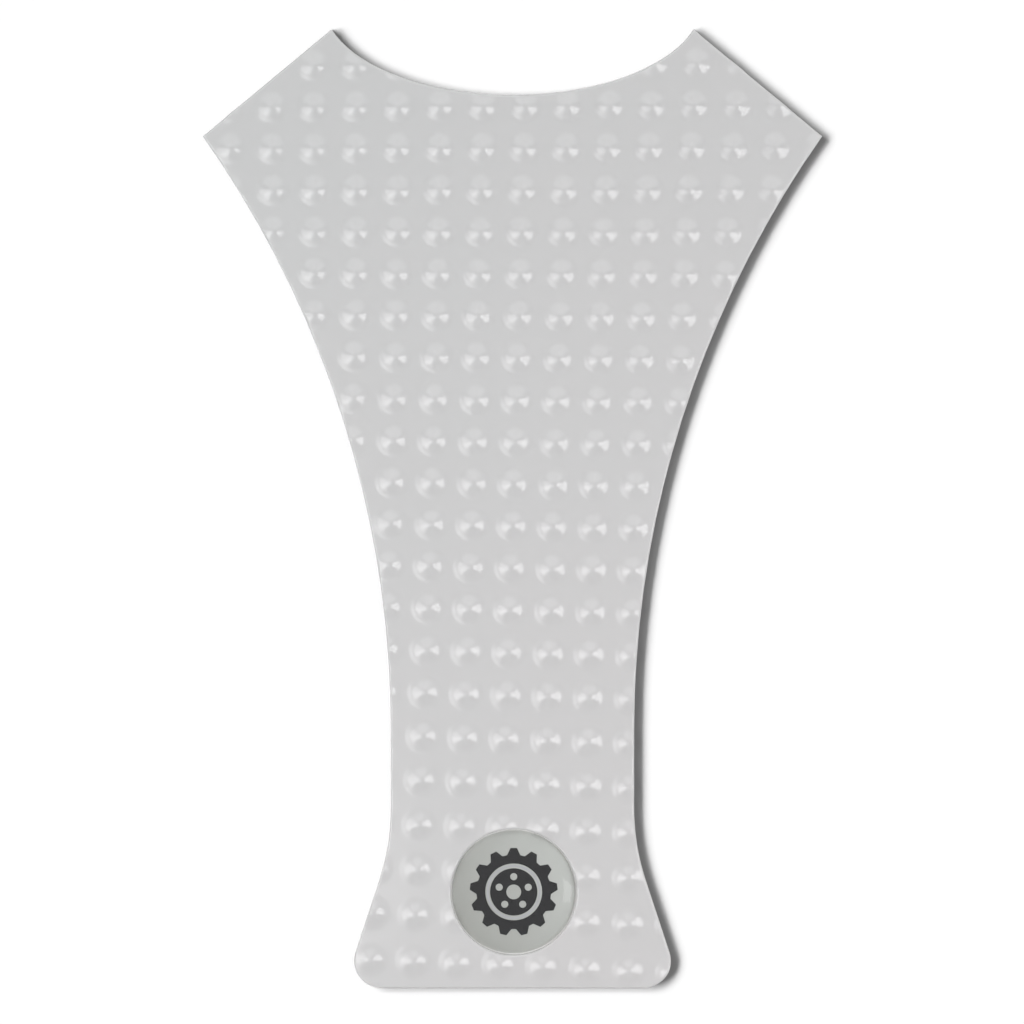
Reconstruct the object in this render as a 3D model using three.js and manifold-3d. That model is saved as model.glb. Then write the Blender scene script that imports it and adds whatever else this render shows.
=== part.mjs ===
// Motorcycle tank pad: a clear moulded grip sheet with rows of low conical studs, an adhesive film
// on its back, and a domed round badge let into a window near its foot.
// Millimetres, +Z up, +Y towards the fuel cap. The pad lies on its adhesive face, with the origin
// under the middle of its length and width. Heights along the pad are counted from its foot.

import * as THREE from 'three';
import { mergeVertices } from 'three/addons/utils/BufferGeometryUtils.js';
import Module from 'manifold-3d';

const wasm = await Module();
wasm.setup();

// Outline
const padLength = 195;
const shoulderHalfWidth = 63;
const shoulderDrop = 21.8;        // side tips below the notch tips
const notchHalfWidth = 36.8;      // from the pad's axis to a notch tip
const notchDepth = 13.4;
const notchOverrun = 1.7;         // the notch is part of an ellipse this much wider to each side
const waistHalfWidth = 24.75;
const waistHeight = 52.4;         // where the long side arc runs out parallel to the axis
const waistStraight = 15.6;       // straight stretch below it
const flareRadius = 48;
const flareAngle = THREE.MathUtils.degToRad(18.2);
const footCornerRadius = 5.5;
const outlineDivisions = 9;       // half the number of chords in each arc

// Layers
const adhesiveThickness = 0.25;
const sheetThickness = 1.25;      // between the studs

// Studs
const studRadius = 2.9;
const studTipRadius = 0.5;
const studHeight = 0.8;
const studSides = 12;
const leastOffcut = 0.35;         // cubic mm of a stud: less than this at an edge is left off

// Their rows and columns, counted from one stud near the middle. The rows turn level towards the notch
// and open out towards the foot, and the columns draw together at the waist.
const middleStud = new THREE.Vector2(0.2, 102.6);
const rowPitch = 8.52;
const rowSlant = THREE.MathUtils.degToRad(-1.03);
const rowFan = THREE.MathUtils.degToRad(1.62);          // turn of a row half the pad's length further up
const openBelow = 81.5;           // the rows are evenly spaced above this height
const footOpening = 5.3;          // and at the foot have come this much lower than even ones
const columnPitch = 8.25;
const columnSpread = 0.55;        // wider pitch half the pad's length from the middle stud
const columnLean = THREE.MathUtils.degToRad(1.76);

// Badge
const badgeRadius = 12.5;
const badgeHeight = 19.5;         // its centre above the foot
const badgeOffset = 0.25;         // its centre right of the pad's axis
const badgeClearance = 0.3;       // all round, to the window in the sheet
const badgeFilmThickness = 0.25;
const domeHeight = 1.75;
const domeEdgeInset = 0.15;       // the resin stops short of the film's edge
const domeFullness = 3.2;         // exponent of the crown: 2 is an ellipse, more is flatter on top
const domeRings = 9;
const badgeSides = 48;

const gripMaterial = new THREE.MeshStandardMaterial({ color: 0xcccccc, roughness: 0.25, metalness: 0 });
const adhesiveMaterial = new THREE.MeshStandardMaterial({ color: 0xdcdcd4, roughness: 0.5, metalness: 0 });
const badgeFilmMaterial = new THREE.MeshStandardMaterial({ color: 0xb0b0ab, roughness: 0.4, metalness: 0 });
const domeMaterial = new THREE.MeshStandardMaterial({ color: 0xe6e8e4, roughness: 0.05, metalness: 0 });

// Right half of the outline, from the middle of the foot to the bottom of the notch.
// Each arc is joined to the one before it by a straight edge.
function rightHalf() {
  const half = new THREE.Path();
  half.moveTo(0, 0);

  const flareX = waistHalfWidth + flareRadius;
  const flareY = waistHeight - waistStraight;
  // the flank leaves the flare at its slant and meets the foot line here, before the corner is rounded
  const flankRun = (flareY - flareRadius * Math.sin(flareAngle)) * Math.tan(flareAngle);
  const cornerX = flareX - flareRadius * Math.cos(flareAngle) + flankRun;
  const cornerInset = footCornerRadius * (Math.tan(flareAngle) + 1 / Math.cos(flareAngle));
  half.absarc(cornerX - cornerInset, footCornerRadius, footCornerRadius, -Math.PI / 2, flareAngle, false);
  half.absarc(flareX, flareY, flareRadius, Math.PI + flareAngle, Math.PI, true);

  const shoulderRise = padLength - shoulderDrop - waistHeight;
  const shoulderRun = shoulderHalfWidth - waistHalfWidth;
  const sideRadius = (shoulderRise ** 2 + shoulderRun ** 2) / (2 * shoulderRun);
  const sideTurn = Math.asin(shoulderRise / sideRadius);
  half.absarc(waistHalfWidth + sideRadius, waistHeight, sideRadius, Math.PI, Math.PI - sideTurn, true);

  const notchHalfAxis = notchHalfWidth + notchOverrun;
  const notchTurn = Math.acos(notchHalfWidth / notchHalfAxis);
  const notchShortAxis = notchDepth / (1 - Math.sin(notchTurn));
  const notchY = padLength - notchDepth + notchShortAxis;
  half.absellipse(0, notchY, notchHalfAxis, notchShortAxis, -notchTurn, -Math.PI / 2, true);
  return half.getPoints(outlineDivisions);
}

function padOutline() {
  const right = rightHalf();
  const left = right.slice(1, -1).reverse().map((point) => new THREE.Vector2(-point.x, point.y));
  return new THREE.Shape([...right, ...left]);
}

function windowedOutline() {
  const outline = padOutline();
  const window = new THREE.Path();
  window.absarc(badgeOffset, badgeHeight, badgeRadius + badgeClearance, 0, 2 * Math.PI, true);
  outline.holes.push(new THREE.Path(window.getPoints(badgeSides / 2).slice(0, -1)));
  return outline;
}

function extrude(shape, depth) {
  return new THREE.ExtrudeGeometry(shape, { depth, bevelEnabled: false });
}

// A profile of [radius, height] pairs turned about the Z axis.
function turn(profile, sides) {
  const points = profile.map(([radius, height]) => new THREE.Vector2(radius, height));
  return new THREE.LatheGeometry(points, sides).rotateX(Math.PI / 2);
}

function toSolid(geometry) {
  const bare = geometry.clone();
  bare.deleteAttribute('normal');
  bare.deleteAttribute('uv');
  const merged = mergeVertices(bare, 1e-4);
  const corners = merged.index.array;
  const kept = [];
  for (let i = 0; i < corners.length; i += 3) {
    const [a, b, c] = [corners[i], corners[i + 1], corners[i + 2]];
    if (a !== b && b !== c && c !== a) kept.push(a, b, c);
  }
  const vertProperties = merged.attributes.position.array;
  return new wasm.Manifold(new wasm.Mesh({ numProp: 3, vertProperties, triVerts: Uint32Array.from(kept) }));
}

function toGeometry(solid) {
  const mesh = solid.getMesh();
  const geometry = new THREE.BufferGeometry();
  geometry.setAttribute('position', new THREE.BufferAttribute(Float32Array.from(mesh.vertProperties), 3));
  geometry.setIndex(new THREE.BufferAttribute(Uint32Array.from(mesh.triVerts), 1));
  geometry.computeVertexNormals();
  return geometry;
}

function studCentre(column, row) {
  const along = row * rowPitch;
  const reach = along / (padLength / 2);
  const across = column * (columnPitch + columnSpread * reach ** 2);
  const opened = Math.max(0, openBelow - middleStud.y - along) / openBelow;
  const centre = new THREE.Vector2(across + along * Math.tan(columnLean), along - footOpening * opened ** 2);
  centre.y += across * Math.tan(rowSlant + rowFan * reach);
  return centre.add(middleStud);
}

function studCentres() {
  const centres = [];
  const columns = Math.ceil(shoulderHalfWidth / columnPitch) + 2;
  const rows = Math.ceil(padLength / rowPitch) + 2;
  for (let row = -rows; row <= rows; row++) {
    for (let column = -columns; column <= columns; column++) {
      const centre = studCentre(column, row);
      const across = Math.abs(centre.x) < shoulderHalfWidth + studRadius;
      const along = centre.y > -studRadius && centre.y < padLength + studRadius;
      if (across && along) centres.push(centre);
    }
  }
  return centres;
}

// The sheet with its studs, all trimmed by the die that cuts the outline and the badge's window.
function gripSheet() {
  const outline = windowedOutline();
  const top = sheetThickness + studHeight;
  const slab = toSolid(extrude(outline, sheetThickness));
  const die = toSolid(extrude(outline, 2 * top));
  const root = sheetThickness / 2;
  const stud = toSolid(turn([[0, root], [studRadius, root], [studRadius, sheetThickness], [studTipRadius, top],
    [0, top]], studSides));
  const trimmed = studCentres()
    .map((centre) => stud.translate([centre.x, centre.y, 0]).intersect(die))
    .filter((piece) => piece.volume() > leastOffcut);
  return toGeometry(wasm.Manifold.union([slab, ...trimmed]));
}

function domeProfile() {
  const radius = badgeRadius - domeEdgeInset;
  const profile = [[0, 0], [radius, 0]];
  for (let ring = 1; ring <= domeRings; ring++) {
    const turned = (ring / domeRings) * (Math.PI / 2);
    const share = Math.cos(turned) ** (2 / domeFullness);
    profile.push([ring === domeRings ? 0 : radius * share, domeHeight * Math.sin(turned)]);
  }
  return profile;
}

function named(name, geometry, material) {
  const mesh = new THREE.Mesh(geometry, material);
  mesh.name = name;
  return mesh;
}

function badge() {
  const group = new THREE.Group();
  const film = turn([[0, 0], [badgeRadius, 0], [badgeRadius, badgeFilmThickness], [0, badgeFilmThickness]],
    badgeSides);
  const dome = named('badge_dome', toGeometry(toSolid(turn(domeProfile(), badgeSides))), domeMaterial);
  dome.position.z = badgeFilmThickness;
  group.add(named('badge_film', toGeometry(toSolid(film)), badgeFilmMaterial), dome);
  group.position.set(badgeOffset, badgeHeight, adhesiveThickness);
  return group;
}

const pad = new THREE.Group();
pad.position.y = -padLength / 2;

const sheet = named('grip_sheet', gripSheet(), gripMaterial);
sheet.position.z = adhesiveThickness;
pad.add(sheet, named('adhesive_film', extrude(padOutline(), adhesiveThickness), adhesiveMaterial), badge());

export default pad;
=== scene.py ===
import math

import bmesh
import bpy
import numpy as np
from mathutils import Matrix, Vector
from mathutils.geometry import delaunay_2d_cdt
from mathutils.kdtree import KDTree


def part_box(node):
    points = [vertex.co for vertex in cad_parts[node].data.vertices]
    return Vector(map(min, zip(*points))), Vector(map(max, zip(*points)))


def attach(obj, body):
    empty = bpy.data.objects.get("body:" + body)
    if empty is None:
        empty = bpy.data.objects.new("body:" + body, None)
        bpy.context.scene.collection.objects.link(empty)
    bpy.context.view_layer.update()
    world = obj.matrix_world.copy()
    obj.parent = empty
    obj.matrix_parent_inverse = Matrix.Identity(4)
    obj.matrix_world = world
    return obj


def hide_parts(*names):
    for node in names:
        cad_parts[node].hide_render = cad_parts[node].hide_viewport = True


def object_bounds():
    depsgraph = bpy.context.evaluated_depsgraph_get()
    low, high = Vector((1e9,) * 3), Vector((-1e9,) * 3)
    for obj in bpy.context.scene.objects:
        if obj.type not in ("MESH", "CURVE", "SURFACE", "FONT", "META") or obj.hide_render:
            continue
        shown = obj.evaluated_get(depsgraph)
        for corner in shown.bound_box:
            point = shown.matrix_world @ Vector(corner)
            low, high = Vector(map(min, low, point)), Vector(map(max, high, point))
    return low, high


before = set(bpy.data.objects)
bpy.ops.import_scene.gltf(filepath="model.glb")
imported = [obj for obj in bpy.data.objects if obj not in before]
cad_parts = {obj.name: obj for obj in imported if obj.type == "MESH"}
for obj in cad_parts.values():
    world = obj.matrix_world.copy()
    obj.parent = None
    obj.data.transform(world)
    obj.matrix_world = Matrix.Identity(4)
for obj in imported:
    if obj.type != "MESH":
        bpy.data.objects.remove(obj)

# Motorcycle tank pad lying on its back, seen from straight above.
# Metres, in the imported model's frame: +Y towards the notch, +Z out of the studs.

cadLow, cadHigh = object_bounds()
mm = 0.001
weldDistance = 0.001 * mm
facesDown = -0.9            # a face whose normal is lower than this looks down
sharpAngle = math.radians(40)
sheetLow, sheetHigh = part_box("grip_sheet")
discLow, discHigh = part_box("badge_film")
domeLow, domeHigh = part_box("badge_dome")
badgeCentre = np.array([(discLow[0] + discHigh[0]) / 2, (discLow[1] + discHigh[1]) / 2])
badgeRadius = (discHigh[0] - discLow[0]) / 2
print("frame loaded, pad is", [round((cadHigh[i] - cadLow[i]) / mm, 2) for i in range(3)], "mm")


# flat loops of points, as arrays of x and y

def circle(centre, radius, count):
    turn = np.arange(count) * 2 * math.pi / count
    return np.column_stack((centre[0] + radius * np.cos(turn), centre[1] + radius * np.sin(turn)))


def spread(loop, step):  # points no further apart than step
    points = []
    for here, there in zip(loop, np.roll(loop, -1, axis=0)):
        pieces = max(1, math.ceil(np.linalg.norm(there - here) / step))
        points += [here + (there - here) * i / pieces for i in range(pieces)]
    return np.array(points)


def offset(loop, distance):  # to the left of the way round, so inwards on a counter-clockwise loop
    along = np.roll(loop, -1, axis=0) - loop
    along /= np.linalg.norm(along, axis=1)[:, None]
    after = np.column_stack((-along[:, 1], along[:, 0]))
    before = np.roll(after, 1, axis=0)
    mitre = after + before
    mitre /= np.sum(mitre * after, axis=1)[:, None]
    return loop + mitre * distance


def insideLoop(points, loop):
    inside = np.zeros(len(points), dtype=bool)
    for (ax, ay), (bx, by) in zip(loop, np.roll(loop, -1, axis=0)):
        crosses = (ay > points[:, 1]) != (by > points[:, 1])
        if ay != by:
            inside ^= crosses & (points[:, 0] < ax + (points[:, 1] - ay) * (bx - ax) / (by - ay))
    return inside


def distanceTo(points, loop):
    nearest = np.full(len(points), np.inf)
    for here, there in zip(loop, np.roll(loop, -1, axis=0)):
        side = there - here
        share = np.clip((points - here) @ side / (side @ side), 0, 1)
        nearest = np.minimum(nearest, np.linalg.norm(points - here - share[:, None] * side, axis=1))
    return nearest


def cadOutline():  # the lower rim of the adhesive film, counter-clockwise
    film = bmesh.new()
    film.from_mesh(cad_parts["adhesive_film"].data)
    bmesh.ops.remove_doubles(film, verts=film.verts, dist=weldDistance)
    rim = [e for e in film.edges if sum(f.normal.z < facesDown for f in e.link_faces) == 1]
    beside = {}
    for edge in rim:
        for vert in edge.verts:
            beside.setdefault(vert, []).append(edge.other_vert(vert))
    chain = [rim[0].verts[0]]
    ahead = beside[chain[0]][0]
    while ahead != chain[0]:
        chain.append(ahead)
        ahead = next(v for v in beside[ahead] if v != chain[-2])
    loop = np.array([v.co.xy[:] for v in chain])
    film.free()
    area = np.sum(loop[:, 0] * np.roll(loop[:, 1], -1) - loop[:, 1] * np.roll(loop[:, 0], -1))
    return loop if area > 0 else loop[::-1]


def ringsOf(loops):  # where each loop's points stand once the loops are stacked
    starts = np.cumsum([0] + [len(loop) for loop in loops])
    return [list(range(a, b)) for a, b in zip(starts, starts[1:])]


def fill(points, rim, holes, creases=()):
    # triangles over the points, inside the rim and outside the holes, with edges along every loop;
    # a loop is a list of indices; the last value gives the old indices of each new point
    edges = [(a, b) for loop in [rim, *holes, *creases] for a, b in zip(loop, loop[1:] + loop[:1])]
    flat = [Vector(p / mm) for p in points]
    insideOnly = 1
    closeness = 1e-6
    found, _, faces, source, _, _ = delaunay_2d_cdt(flat, edges, [], insideOnly, closeness)
    place = np.array([v[:] for v in found]) * mm
    faces = np.array([f for f in faces if len(f) == 3])
    middle = place[faces].mean(axis=1)
    keep = insideLoop(middle, points[rim])
    for hole in holes:
        keep &= ~insideLoop(middle, points[hole])
    return place, faces[keep], source


def newIndices(source):
    return {old: new for new, olds in enumerate(source) for old in olds}


def meshObject(name, verts, faces):
    mesh = bpy.data.meshes.new(name)
    mesh.from_pydata([tuple(v) for v in verts], [], [tuple(f) for f in faces])
    shell = bmesh.new()
    shell.from_mesh(mesh)
    loose = [v for v in shell.verts if not v.link_faces]
    bmesh.ops.delete(shell, geom=loose, context="VERTS")
    bmesh.ops.recalc_face_normals(shell, faces=shell.faces)
    shell.to_mesh(mesh)
    shell.free()
    mesh.shade_smooth()
    mesh.set_sharp_from_angle(angle=sharpAngle)
    piece = bpy.data.objects.new(name, mesh)
    bpy.context.scene.collection.objects.link(piece)
    return piece


# shader graphs

class Wire:
    # one socket of a graph; each sum or product with it adds a Math node
    def __init__(self, graph, socket):
        self.graph = graph
        self.socket = socket

    def math(self, operation, *values):
        inputs = dict(enumerate(values))
        return self.graph.add("ShaderNodeMath", {"operation": operation}, inputs)

    def __add__(self, other):
        return self.math("ADD", self, other)

    def __radd__(self, other):
        return self.math("ADD", other, self)

    def __sub__(self, other):
        return self.math("SUBTRACT", self, other)

    def __rsub__(self, other):
        return self.math("SUBTRACT", other, self)

    def __mul__(self, other):
        return self.math("MULTIPLY", self, other)

    def __rmul__(self, other):
        return self.math("MULTIPLY", other, self)


class Graph:
    # the node tree of a material or of the world
    def __init__(self, owner):
        owner.use_nodes = True
        self.tree = owner.node_tree
        self.tree.nodes.clear()

    def add(self, kind, settings={}, inputs={}, output=0):
        node = self.tree.nodes.new(kind)
        for name, value in settings.items():
            setattr(node, name, value)
        for name, value in inputs.items():
            if isinstance(value, Wire):
                self.tree.links.new(value.socket, node.inputs[name])
            else:
                node.inputs[name].default_value = value
        return Wire(self, node.outputs[output]) if len(node.outputs) else node

    def place(self):
        return self.add("ShaderNodeTexCoord", output="Object")

    def noise(self, scale, detail=2, harshness=0.5):
        inputs = {"Vector": self.place(), "Scale": scale, "Detail": detail, "Roughness": harshness}
        return self.add("ShaderNodeTexNoise", {}, inputs)

    def along(self, axis):  # place along one axis, in metres
        return self.add("ShaderNodeSeparateXYZ", {}, {0: self.place()}, axis)

    def blend(self, share, first, second):  # the Mix node's colours are its sockets 6, 7 and 2
        inputs = {"Factor": share, 6: first, 7: second}
        return self.add("ShaderNodeMix", {"data_type": "RGBA"}, inputs, 2)

    def bump(self, height, distance):
        return self.add("ShaderNodeBump", {}, {"Height": height, "Distance": distance})

    def show(self, shader, kind="ShaderNodeOutputMaterial"):
        self.add(kind, {}, {"Surface": shader})


def newMaterial(name):
    material = bpy.data.materials.new(name)
    return material, Graph(material)


# Grip sheet: clear moulded polyurethane that reads as pale grey, with rows of low cones

moulding = {
    "coolGrey": (0.598, 0.602, 0.604, 1),
    "warmGrey": (0.610, 0.599, 0.602, 1),
    "paintedSheenAcross": 4.5,        # painted sheen tint, change of the blend per metre: cooler to the left, warmer to the right
    "paintedSheenAlong": -3.2,
    "cloudScale": 22,
    "cloudDetail": 3,
    "cloudShare": 0.7,
    "sheenScale": 264,
    "leastRoughness": 0.09,
    "roughnessSpread": 0.06,
    "skinScale": 650,           # faint unevenness of the moulded skin
    "skinDetail": 3,
    "skinHarshness": 0.6,
    "skinDepth": 0.004 * mm,
    "clearness": 0.35,          # share of the light that goes into the sheet
    "clearDepth": 1.2 * mm,     # and how far it gets
    "ior": 1.5,
}


def mouldedClear():
    look = moulding
    material, g = newMaterial("mouldedPolyurethane")
    cloud = g.noise(look["cloudScale"], look["cloudDetail"])
    # painted sheen: a colour tint standing in for the sheet's reflections, cooler towards the upper
    # left and warmer towards the lower right, with random clouding on top
    paintedSheenAndCloud = g.along("X") * look["paintedSheenAcross"] + g.along("Y") * look["paintedSheenAlong"]
    paintedSheenAndCloud = paintedSheenAndCloud + cloud * look["cloudShare"] + (0.5 - look["cloudShare"] / 2)
    skin = g.noise(look["skinScale"], look["skinDetail"], look["skinHarshness"])
    g.show(g.add("ShaderNodeBsdfPrincipled", {"subsurface_method": "RANDOM_WALK"}, {
        "Base Color": g.blend(paintedSheenAndCloud, look["coolGrey"], look["warmGrey"]),
        "Roughness": g.noise(look["sheenScale"]) * look["roughnessSpread"] + look["leastRoughness"],
        "IOR": look["ior"],
        "Subsurface Weight": look["clearness"],
        "Subsurface Radius": (1, 1, 1),
        "Subsurface Scale": look["clearDepth"],
        "Normal": g.bump(skin, look["skinDepth"]),
    }))
    return material


studs = {
    "middleAcross": 0.2 * mm,       # a stud's centre, from the pad's axis
    "middleAlong": 102.6 * mm,      # and from its foot; rows and columns are counted from it
    "rowPitch": 8.52 * mm,
    "rowSlant": math.radians(-1.03),
    "rowFan": math.radians(1.62),   # turn of a row half the pad's length further up
    "openBelow": 81.5 * mm,         # the rows are evenly spaced above this height
    "footOpening": 5.3 * mm,        # and at the foot have come this much lower than even ones
    "columnPitch": 8.25 * mm,
    "columnSpread": 0.55 * mm,      # wider pitch half the pad's length from the middle stud
    "columnLean": math.radians(1.76),
    "radius": 2.9 * mm,
    "tipRadius": 0.5 * mm,
    "height": 0.8 * mm,
    "tipBlend": 0.4 * mm,
    "footBlend": 1.0 * mm,
    "flatStart": 0.08 * mm,         # a ring outside the fillet keeps the flats between studs flat
    "tipRings": 4,
    "coneRings": 3,
    "footRings": 7,
    "segments": 24,
    "lean": 0.09,                   # how unevenly a stud has filled its mould
    "mouldSeed": 5,
}

sheet = {
    "rimRadius": 0.4 * mm,          # softened upper edge
    "rimSteps": 4,
    "edgeStep": 0.6 * mm,
    "windowGap": 0.3 * mm,          # round the badge
    "windowSides": 120,
    "flatStart": 0.08 * mm,
    "clearOfRim": 0.2 * mm,         # how near a stud's points come to the softened edge
}

faceZ = sheetHigh[2] - studs["height"]
halfLength = (cadHigh[1] - cadLow[1]) / 2


def studCentre(column, row):
    middle = np.array([studs["middleAcross"], cadLow[1] + studs["middleAlong"]])
    along = row * studs["rowPitch"]
    reach = along / halfLength
    across = column * (studs["columnPitch"] + studs["columnSpread"] * reach ** 2)
    opened = max(0, studs["openBelow"] - studs["middleAlong"] - along) / studs["openBelow"]
    slant = studs["rowSlant"] + studs["rowFan"] * reach
    x = across + along * math.tan(studs["columnLean"])
    y = along - studs["footOpening"] * opened ** 2 + across * math.tan(slant)
    return middle + (x, y)


def studCentres():  # with all those near enough to lie partly on the pad
    most = math.ceil(halfLength / studs["columnPitch"]) + 2
    count = range(-most, most + 1)
    centres = np.array([studCentre(column, row) for row in count for column in count])
    room = studs["radius"] + studs["footBlend"]
    near = (np.abs(centres[:, 0]) < cadHigh[0] + room) & (np.abs(centres[:, 1]) < cadHigh[1] + room)
    return centres[near]


studPlaces = studCentres()
mouldFill = np.random.default_rng(studs["mouldSeed"]).uniform(-1, 1, (len(studPlaces), 2))


def studProfile(radius):  # cone with a rounded tip and a filleted foot
    slope = studs["height"] / (studs["radius"] - studs["tipRadius"])
    height = np.clip(slope * (studs["radius"] - radius), 0, studs["height"])
    nearTip = np.abs(radius - studs["tipRadius"]) < studs["tipBlend"]
    fromTip = radius - studs["tipRadius"] + studs["tipBlend"]
    height = np.where(nearTip, studs["height"] - slope * fromTip ** 2 / (4 * studs["tipBlend"]), height)
    nearFoot = np.abs(radius - studs["radius"]) < studs["footBlend"]
    toFoot = studs["radius"] + studs["footBlend"] - radius
    return np.where(nearFoot, slope * toFoot ** 2 / (4 * studs["footBlend"]), height)


def faceHeight(points):  # of the studded face, before its rim is softened
    nearest = KDTree(len(studPlaces))
    for i, place in enumerate(studPlaces):
        nearest.insert((*place, 0), i)
    nearest.balance()
    stud = np.array([nearest.find((*point, 0))[1] for point in points])
    away = points - studPlaces[stud]
    lean = mouldFill[stud] * studs["lean"]
    height = studProfile(np.linalg.norm(away, axis=1))
    height *= 1 + np.sum(away * lean, axis=1) / studs["radius"]
    return faceZ + np.minimum(height, studs["height"])


def studPoints():  # rings of points round each stud, closer where its profile turns
    tipEnd = studs["tipRadius"] + studs["tipBlend"]
    footStart = studs["radius"] - studs["footBlend"]
    footEnd = studs["radius"] + studs["footBlend"]
    radii = []
    for start, end, rings in ((0, tipEnd, "tipRings"), (tipEnd, footStart, "coneRings"),
                              (footStart, footEnd, "footRings")):
        radii += list(np.linspace(start, end, studs[rings] + 1)[1:])
    radii.append(footEnd + studs["flatStart"])
    pattern = np.vstack([[[0, 0]]] + [circle((0, 0), r, studs["segments"]) for r in radii])
    return np.vstack([place + pattern for place in studPlaces])


def buildGripSheet():
    rim = sheet["rimRadius"]
    die = cadOutline()
    outer = spread(die, sheet["edgeStep"])
    window = circle(badgeCentre, badgeRadius + sheet["windowGap"], sheet["windowSides"])
    turns = [i * math.pi / 2 / sheet["rimSteps"] for i in range(sheet["rimSteps"] + 1)]
    insets = [rim * (1 - math.cos(turn)) for turn in turns] + [rim + sheet["flatStart"]]
    drops = [rim * (1 - math.sin(turn)) for turn in turns] + [0]
    loops = [offset(outer, inset) for inset in insets] + [offset(window, -inset) for inset in insets]

    inner = studPoints()
    inner = inner[(np.abs(inner[:, 0]) < cadHigh[0]) & (np.abs(inner[:, 1]) < cadHigh[1])]
    inner = inner[insideLoop(inner, die)]
    margin = rim + sheet["clearOfRim"]
    inner = inner[distanceTo(inner, die) > margin]
    fromBadge = np.linalg.norm(inner - badgeCentre, axis=1)
    inner = inner[fromBadge > badgeRadius + sheet["windowGap"] + margin]

    points = np.vstack(loops + [inner])
    drop = np.zeros(len(points))
    rings = ringsOf(loops)
    for ring, ringDrop in zip(rings, drops * 2):
        drop[ring] = ringDrop
    outerRing, windowRing = rings[0], rings[len(insets)]
    creases = rings[1:len(insets)] + rings[len(insets) + 1:]
    place, faces, source = fill(points, outerRing, [windowRing], creases)
    placeDrop = np.array([max(drop[i] for i in olds) if olds else 0 for olds in source])
    newIndex = newIndices(source)

    verts = [np.append(p, z) for p, z in zip(place, faceHeight(place) - placeDrop)]
    faces = [tuple(f) for f in faces]
    lowest = sheetLow[2]
    bottoms = []
    for ring in (outerRing, windowRing):
        top = [newIndex[i] for i in ring]
        bottom = list(range(len(verts), len(verts) + len(ring)))
        verts += [np.array([*verts[i][:2], lowest]) for i in top]
        bottoms.append(bottom)
        for i in range(len(ring)):
            j = (i + 1) % len(ring)
            faces.append((top[i], top[j], bottom[j], bottom[i]))
    underRim, underWindow = ringsOf([outer, window])
    _, underFaces, source = fill(np.vstack([outer, window]), underRim, [underWindow])
    joined = {new: bottoms[0][old] if old < len(outer) else bottoms[1][old - len(outer)]
              for old, new in newIndices(source).items()}
    faces += [tuple(joined[i] for i in face) for face in underFaces]
    return meshObject("gripSheet", verts, faces)


gripSheet = buildGripSheet()
gripSheet.data.materials.append(mouldedClear())
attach(gripSheet, "root")
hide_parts("grip_sheet")
print("grip sheet:", len(gripSheet.data.polygons), "faces")


# Adhesive film: the pale layer under the sheet, seen at its cut edge and round the badge

adhesive = {
    "colour": (0.86, 0.86, 0.84, 1),
    "cloudyColour": (0.90, 0.90, 0.89, 1),
    "cloudScale": 90,
    "cloudDetail": 3,
    "roughness": 0.45,
    "roughnessSpread": 0.15,
}


def adhesiveLayer():
    look = adhesive
    material, g = newMaterial("clearAdhesive")
    cloud = g.noise(look["cloudScale"], look["cloudDetail"])
    g.show(g.add("ShaderNodeBsdfPrincipled", {}, {
        "Base Color": g.blend(cloud, look["colour"], look["cloudyColour"]),
        "Roughness": cloud * look["roughnessSpread"] + look["roughness"],
    }))
    return material


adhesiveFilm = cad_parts["adhesive_film"]
adhesiveFilm.data.materials.clear()
adhesiveFilm.data.materials.append(adhesiveLayer())
print("adhesive film finished")


# Badge: a printed vinyl disc with an inked sprocket, under a poured clear dome

disc = {
    "sides": 128,
    "edgeBevel": 0.03 * mm,
    "ground": (0.590, 0.598, 0.585, 1),
    # painted shade: the ground is darker towards the lower left and lighter towards the upper right
    "groundInPaintedShade": (0.425, 0.425, 0.410, 1),
    "paintedShadeAcross": -34,         # painted shade, change of the blend per metre: darker towards the left
    "paintedShadeAlong": -20,
    "paintedShadeLevel": 0.3,
    "cloudScale": 120,
    "cloudShare": 0.4,
    # painted light: the ground turns paler towards the rim, making up for the shade of the window wall
    # round the badge
    "rimPaintedLight": (0.60, 0.60, 0.58, 1),
    "rimPaintedLightStart": 0.915,       # share of the radius
    "rimPaintedLightShare": 0.6,
    "roughness": 0.38,
    "roughnessSpread": 0.1,
    "grainScale": 700,
    "gloss": 0.08,              # little of it is left under the resin
}

ink = {
    "thickness": 0.02 * mm,
    "charcoal": (0.012, 0.012, 0.013, 1),
    "charcoalWorn": (0.017, 0.016, 0.020, 1),
    "paleLine": (0.52, 0.52, 0.56, 1),
    "paleLineWorn": (0.47, 0.47, 0.50, 1),
    "wearScale": 160,
    "roughness": 0.45,
    "roughnessSpread": 0.1,
    "grainScale": 900,
    "teeth": 13,
    "toothTip": 8.9 * mm,
    "toothRoot": 7.55 * mm,
    "toothTipShare": 0.30,
    "toothRootShare": 0.26,
    "rimInner": 5.75 * mm,
    "lineOuter": 5.45 * mm,
    "lineInner": 5.1 * mm,
    "hubOuter": 4.8 * mm,
    "bore": 1.5 * mm,
    "holes": 5,
    "holeRing": 3.1 * mm,
    "holeRadius": 0.72 * mm,
    "circleSides": 72,
}

dome = {
    "sides": 128,
    "rings": 26,
    "fullness": 3.2,            # exponent of the crown: flat on top, and upright where the resin stops
    "seat": 0.02 * mm,          # how far the resin has wetted into the disc
    "ior": 1.43,
    "tint": (0.93, 0.945, 0.93, 1),
    "hazeScale": 400,
    "roughness": 0.06,
    "roughnessSpread": 0.02,
    "rippleScale": 260,
    "rippleDepth": 0.004 * mm,
}


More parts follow.
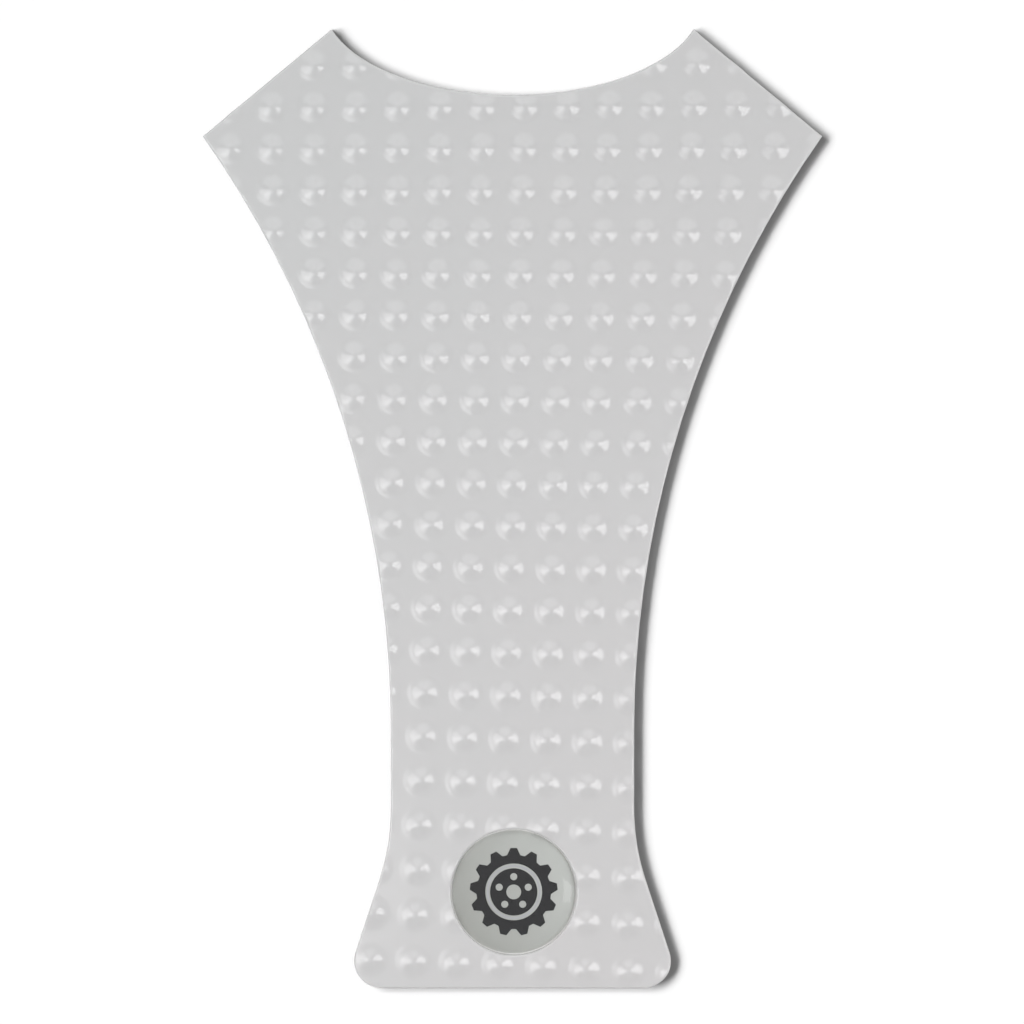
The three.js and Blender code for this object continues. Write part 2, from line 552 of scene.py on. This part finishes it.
def revolve(name, profile, sides, centre):
    # profile of (radius, height) from the lower axis point to the upper one
    verts = [(centre[0], centre[1], profile[0][1])]
    for radius, height in profile[1:-1]:
        verts += [(x, y, height) for x, y in circle(centre, radius, sides)]
    verts.append((centre[0], centre[1], profile[-1][1]))
    last = len(verts) - 1
    rings = len(profile) - 2
    faces = []
    for i in range(sides):
        j = (i + 1) % sides
        faces.append((0, 1 + j, 1 + i))
        for ring in range(rings - 1):
            low = 1 + ring * sides
            faces.append((low + i, low + j, low + sides + j, low + sides + i))
        high = 1 + (rings - 1) * sides
        faces.append((high + i, high + j, last))
    return meshObject(name, verts, faces)


def plate(name, outlines, low, high):
    # flat plates between two heights; each outline is an outer loop and its holes
    verts = []
    faces = []
    for loops in outlines:
        points = np.vstack(loops)
        rings = ringsOf(loops)
        _, filled, source = fill(points, rings[0], rings[1:])
        first = len(verts)
        count = len(points)
        verts += [(x, y, low) for x, y in points] + [(x, y, high) for x, y in points]
        for face in filled:
            a, b, c = (first + source[k][0] for k in face)
            faces += [(a, c, b), (a + count, b + count, c + count)]
        for ring in rings:
            for i, j in zip(ring, ring[1:] + ring[:1]):
                faces.append((first + i, first + j, first + count + j, first + count + i))
    return meshObject(name, verts, faces)


def toothedLoop():
    points = []
    pitch = 2 * math.pi / ink["teeth"]
    root = 0.5 - ink["toothRootShare"] / 2
    tip = ink["toothTipShare"] / 2
    corners = [(-root, ink["toothRoot"]), (-tip, ink["toothTip"]),
               (tip, ink["toothTip"]), (root, ink["toothRoot"])]
    for tooth in range(ink["teeth"]):
        middle = math.pi / 2 + tooth * pitch
        for share, radius in corners:
            turn = middle + share * pitch
            points.append(badgeCentre + radius * np.array([math.cos(turn), math.sin(turn)]))
    return np.array(points)


def inkMaterial(name, colour, worn):
    material, g = newMaterial(name)
    g.show(g.add("ShaderNodeBsdfPrincipled", {}, {
        "Base Color": g.blend(g.noise(ink["wearScale"]), colour, worn),
        "Roughness": g.noise(ink["grainScale"]) * ink["roughnessSpread"] + ink["roughness"],
        "Specular IOR Level": disc["gloss"],
    }))
    return material


def vinylDisc():
    look = disc
    material, g = newMaterial("printedVinyl")
    along = g.along("Y") - float(badgeCentre[1])
    # painted shade across the disc, darker towards the lower left, mixed with random clouding
    paintedShadeAndCloud = g.along("X") * look["paintedShadeAcross"] + along * look["paintedShadeAlong"]
    paintedShadeAndCloud = paintedShadeAndCloud + g.noise(look["cloudScale"]) * look["cloudShare"] + look["paintedShadeLevel"]
    groundWithPaintedShade = g.blend(paintedShadeAndCloud, look["ground"], look["groundInPaintedShade"])
    # painted light near the rim, against the shade of the window wall
    fromCentre = g.add("ShaderNodeVectorMath", {"operation": "DISTANCE"},
                       {0: g.place(), 1: (*badgeCentre, discHigh[2])}, "Value")
    rimPaintedLight = g.add("ShaderNodeMapRange", {"interpolation_type": "SMOOTHSTEP"}, {
        "Value": fromCentre, "From Min": badgeRadius * look["rimPaintedLightStart"], "From Max": badgeRadius,
        "To Max": look["rimPaintedLightShare"]})
    g.show(g.add("ShaderNodeBsdfPrincipled", {}, {
        "Base Color": g.blend(rimPaintedLight, groundWithPaintedShade, look["rimPaintedLight"]),
        "Roughness": g.noise(look["grainScale"]) * look["roughnessSpread"] + look["roughness"],
        "Specular IOR Level": look["gloss"],
    }))
    return material


def pouredResin():
    material, g = newMaterial("clearResin")
    ripple = g.bump(g.noise(dome["rippleScale"]), dome["rippleDepth"])
    resin = g.add("ShaderNodeBsdfPrincipled", {}, {
        "Base Color": dome["tint"],
        "Roughness": g.noise(dome["hazeScale"]) * dome["roughnessSpread"] + dome["roughness"],
        "IOR": dome["ior"],
        "Transmission Weight": 1.0,
        "Normal": ripple,
    })
    lampRay = g.add("ShaderNodeLightPath", output="Is Shadow Ray")
    passing = g.add("ShaderNodeBsdfTransparent", {}, {"Color": dome["tint"]})
    g.show(g.add("ShaderNodeMixShader", {}, {0: lampRay, 1: resin, 2: passing}))
    return material


def buildBadge():
    discTop = discHigh[2]
    bevel = disc["edgeBevel"]
    discProfile = [(0, discLow[2]), (badgeRadius, discLow[2]), (badgeRadius, discTop - bevel),
                   (badgeRadius - bevel, discTop), (0, discTop)]
    badgeDisc = revolve("badgeDisc", discProfile, disc["sides"], badgeCentre)
    badgeDisc.data.materials.append(vinylDisc())
    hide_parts("badge_film")

    inkTop = discTop + ink["thickness"]
    rim, lineOuter, lineInner, hub, bore = [
        circle(badgeCentre, ink[edge], ink["circleSides"])
        for edge in ("rimInner", "lineOuter", "lineInner", "hubOuter", "bore")]
    holes = []
    for turn in np.arange(ink["holes"]) * 2 * math.pi / ink["holes"]:
        middle = badgeCentre + ink["holeRing"] * np.array([math.sin(turn), math.cos(turn)])
        holes.append(circle(middle, ink["holeRadius"], ink["circleSides"] // 2))
    sprocket = plate("badgeSprocket", [[toothedLoop(), rim], [hub, bore, *holes]], discTop, inkTop)
    sprocket.data.materials.append(inkMaterial("charcoalInk", ink["charcoal"], ink["charcoalWorn"]))
    line = plate("badgeLine", [[lineOuter, lineInner]], discTop, inkTop)
    line.data.materials.append(inkMaterial("paleInk", ink["paleLine"], ink["paleLineWorn"]))

    radius = (domeHigh[0] - domeLow[0]) / 2
    height = domeHigh[2] - domeLow[2]
    seat = domeLow[2] - dome["seat"]
    crown = [(0, seat), (radius, seat), (radius, domeLow[2])]
    for turn in np.linspace(0, math.pi / 2, dome["rings"] + 1)[1:-1]:
        share = math.cos(turn) ** (2 / dome["fullness"])
        crown.append((radius * share, domeLow[2] + height * math.sin(turn)))
    crown.append((0, domeHigh[2]))
    badgeDome = revolve("badgeDome", crown, dome["sides"], badgeCentre)
    badgeDome.data.materials.append(pouredResin())
    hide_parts("badge_dome")

    for piece, slot in ((badgeDisc, "badge_print"), (sprocket, "badge_print"), (line, "badge_print"),
                        (badgeDome, "badge_resin")):
        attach(piece, "root")
    print("badge: disc, ink and dome")
    return badgeDome


badgeDome = buildBadge()


# Floor, lamps, world and camera

studio = {
    "floorSize": 4,
    "floorGap": 0.02 * mm,
    "floorColour": (0.2, 0.2, 0.2, 1),
    "shadowSuns": 7,                        # a low row of them, blocked by the film alone
    "shadowSunStrength": 16.3,
    "shadowSunSoftness": math.radians(6),
    "shadowSunHeight": math.radians(6.5),
    "shadowSunTurn": math.radians(172),     # where the row's middle stands, from +X towards +Y
    "shadowSunSpread": math.radians(27),
    "worldLevel": 0.74,
    "worldTilt": 0.27,                      # more light from the notch end
    "whiteLevel": 1.0,
    "cameraHeight": 1.0,
    "sensorWidth": 36,
    "photoWidth": 1024,
    "pixelSize": 195 * mm / 959,            # the pad's length over its pixel rows
    "photoFoot": 988,                       # pixel row of the pad's foot
    "photoAxis": 512.5,                     # pixel column of its long axis
}

# where it stands, what it is aimed at, width, length, radiance
softboxes = {
    "leftBox": ((-0.34, -0.07, 0.47), (0, -0.04, 0), 0.38, 0.18, 3.2),
    "leftTail": ((-0.26, -0.17, 0.50), (0, -0.10, 0), 0.26, 0.22, 1.8),
    "rightBox": ((0.32, -0.05, 0.46), (0, 0.04, 0), 0.27, 0.21, 4.7),
    "notchPanel": ((0, 0.66, 0.95), (0, 0, 0), 1.5, 0.5, 1.15),
    "footGlint": ((-0.15, -0.055, 0.58), (-0.03, 0.03, 0), 0.26, 0.12, 4.0),
    "badgeGlint": ((0.42, -0.127, 0.47), (0, -0.078, 0), 0.15, 0.36, 2.8),
}
glossOnly = ("notchPanel", "footGlint", "badgeGlint")
glintSpread = math.radians(40)


def buildFloor():
    half = studio["floorSize"] / 2
    corners = [(-half, -half, 0), (half, -half, 0), (half, half, 0), (-half, half, 0)]
    floor = meshObject("floor", corners, [(0, 1, 2, 3)])
    floor.location.z = cadLow[2] - studio["floorGap"]
    material, g = newMaterial("paleFloor")
    g.show(g.add("ShaderNodeBsdfDiffuse", {}, {"Color": studio["floorColour"]}))
    floor.data.materials.append(material)
    return floor


def addLamp(name, kind, place, aim, settings):
    lamp = bpy.data.lights.new(name, kind)
    for key, value in settings.items():
        setattr(lamp, key, value)
    holder = bpy.data.objects.new(name, lamp)
    bpy.context.scene.collection.objects.link(holder)
    holder.location = place
    holder.rotation_euler = (Vector(aim) - Vector(place)).to_track_quat("-Z", "Y").to_euler()
    return holder


def buildLamps(floor, badgeDome):
    allButDome = bpy.data.collections.new("allButTheDome")
    allButDome.objects.link(badgeDome)
    allButDome.collection_objects[0].light_linking.link_state = "EXCLUDE"
    domeAlone = bpy.data.collections.new("domeAlone")
    domeAlone.objects.link(badgeDome)
    for name, (place, aim, width, length, radiance) in softboxes.items():
        settings = {"shape": "RECTANGLE", "size": width, "size_y": length,
                    "energy": radiance * math.pi * width * length}
        box = addLamp(name, "AREA", place, aim, settings)
        box.light_linking.receiver_collection = domeAlone if name == "badgeGlint" else allButDome
        box.visible_diffuse = name not in glossOnly
        if name == "footGlint":         # a gridded lamp, for the glint at the studs' feet
            box.data.spread = glintSpread
            half = glintSpread / 2
            box.data.energy *= 1 - half / math.tan(half)        # the grid brightens it
    lit = bpy.data.collections.new("litByShadowSuns")
    lit.objects.link(floor)
    blocker = bpy.data.collections.new("blocksShadowSuns")
    blocker.objects.link(adhesiveFilm)
    height = studio["shadowSunHeight"]
    for share in np.linspace(-1, 1, studio["shadowSuns"]):
        turn = studio["shadowSunTurn"] + float(share) * studio["shadowSunSpread"]
        place = (math.cos(height) * math.cos(turn), math.cos(height) * math.sin(turn), math.sin(height))
        sun = addLamp("shadowSun", "SUN", place, (0, 0, 0),
                      {"energy": studio["shadowSunStrength"], "angle": studio["shadowSunSoftness"]})
        sun.light_linking.receiver_collection = lit
        sun.light_linking.blocker_collection = blocker


def buildWorld():
    world = bpy.data.worlds.new("studioWorld")
    bpy.context.scene.world = world
    g = Graph(world)
    direction = g.add("ShaderNodeTexCoord", output="Generated")
    towardsNotch = g.add("ShaderNodeSeparateXYZ", {}, {0: direction}, "Y")
    level = towardsNotch * studio["worldTilt"] + studio["worldLevel"]
    lighting = g.add("ShaderNodeBackground", {}, {"Strength": level})
    white = g.add("ShaderNodeBackground", {}, {"Color": (1, 1, 1, 1), "Strength": studio["whiteLevel"]})
    seen = g.add("ShaderNodeLightPath", output="Is Camera Ray")
    for ray in ("Is Glossy Ray", "Is Transmission Ray"):
        seen = seen.math("MAXIMUM", seen, g.add("ShaderNodeLightPath", output=ray))
    g.show(g.add("ShaderNodeMixShader", {}, {0: seen, 1: lighting, 2: white}), "ShaderNodeOutputWorld")


def buildCamera():
    half = studio["photoWidth"] / 2
    across = (half - studio["photoAxis"]) * studio["pixelSize"]
    along = cadLow[1] + (studio["photoFoot"] - half) * studio["pixelSize"]
    camera = bpy.data.cameras.new("photoCamera")
    camera.sensor_width = studio["sensorWidth"]
    camera.lens = camera.sensor_width * studio["cameraHeight"] / (2 * half * studio["pixelSize"])
    holder = bpy.data.objects.new("photoCamera", camera)
    holder.location = (across, along, faceZ + studio["cameraHeight"])
    bpy.context.scene.collection.objects.link(holder)
    bpy.context.scene.camera = holder


buildLamps(buildFloor(), badgeDome)
buildWorld()
buildCamera()
bpy.context.scene.view_settings.view_transform = "Standard"
print("studio ready")
